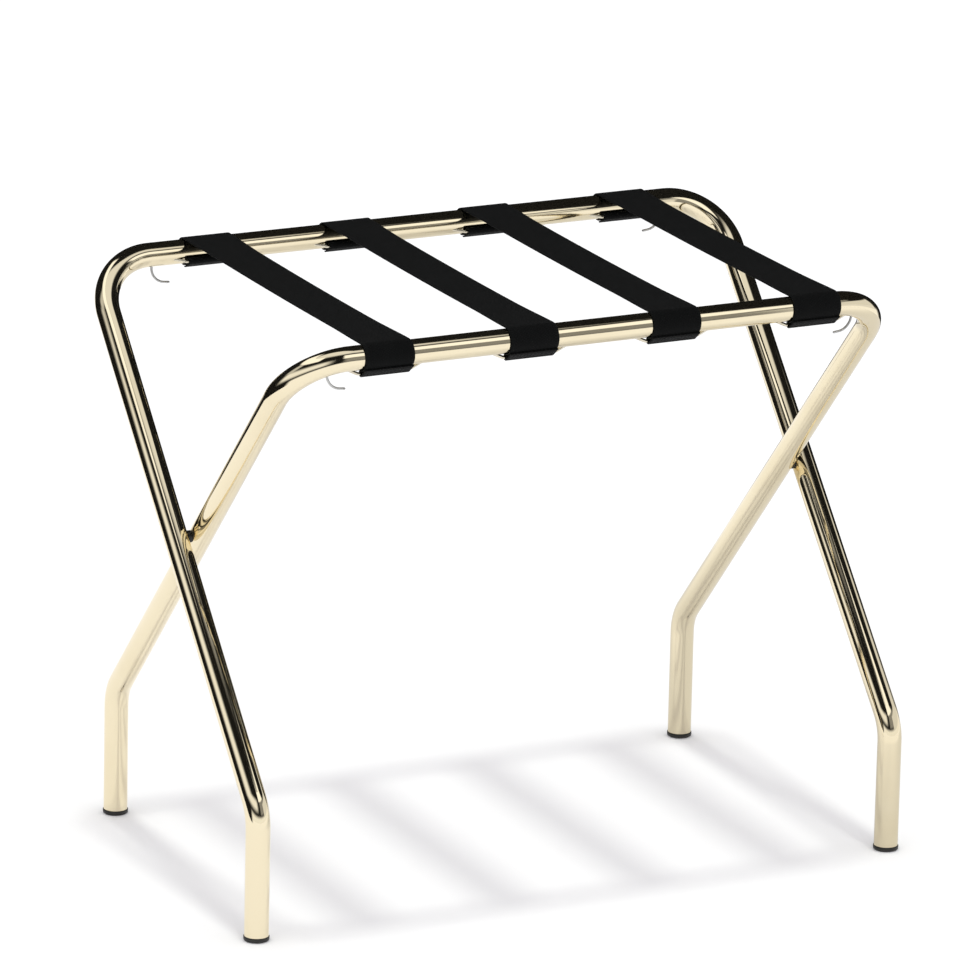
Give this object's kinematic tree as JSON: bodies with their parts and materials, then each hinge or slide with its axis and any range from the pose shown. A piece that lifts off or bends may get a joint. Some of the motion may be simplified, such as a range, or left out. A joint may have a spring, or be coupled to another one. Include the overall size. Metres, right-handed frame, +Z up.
{
  "type": "folding luggage rack",
  "caption": "Folding luggage rack: bent tube frames in polished brass crossing at side pivots, black webbing straps over the rails, wire staples and hooks, dark foot caps.",
  "frame": {"origin": "on the floor, midway between the feet and under the pivots", "axes": "+X along the rails to the right, -Y towards the front rail, +Z up"},
  "size_m": [0.6542, 0.4004, 0.5378],
  "materials": {
    "polished_brass": "polished pale brass plate on steel tube",
    "bright_wire": "bright plated wire",
    "grey_wire": "plain grey wire",
    "black_plastic": "satin dark plastic",
    "black_webbing": "woven black webbing"
  },
  "bodies": {
    "outer_frame": {"outer_frame_tube": "polished_brass", "foot_cap_front_left": "black_plastic", "foot_cap_front_right": "black_plastic", "pivot_rivet_left": "polished_brass", "pivot_rivet_right": "polished_brass", "outer_saddle_washer_left": "black_plastic", "outer_saddle_washer_right": "black_plastic", "strap_staple_back_1": "bright_wire", "strap_staple_back_2": "bright_wire", "strap_staple_back_3": "bright_wire", "strap_staple_back_4": "bright_wire", "rail_hook_back_left": "grey_wire", "rail_hook_back_right": "grey_wire", "webbing_strap_1": "black_webbing", "webbing_strap_2": "black_webbing", "webbing_strap_3": "black_webbing", "webbing_strap_4": "black_webbing"},
    "inner_frame": {"inner_frame_tube": "polished_brass", "foot_cap_back_left": "black_plastic", "foot_cap_back_right": "black_plastic", "inner_saddle_washer_left": "black_plastic", "inner_saddle_washer_right": "black_plastic", "strap_staple_front_1": "bright_wire", "strap_staple_front_2": "bright_wire", "strap_staple_front_3": "bright_wire", "strap_staple_front_4": "bright_wire", "rail_hook_front_left": "grey_wire", "rail_hook_front_right": "grey_wire"}
  },
  "joints": [
    {"name": "fold", "type": "hinge", "parent": "outer_frame", "child": "inner_frame", "pos_m": [0, 0, 0.31791], "axis": [-1, 0, 0], "range_deg": [0, 78], "deforming": ["webbing_strap_1", "webbing_strap_2", "webbing_strap_3", "webbing_strap_4"]}
  ]
}
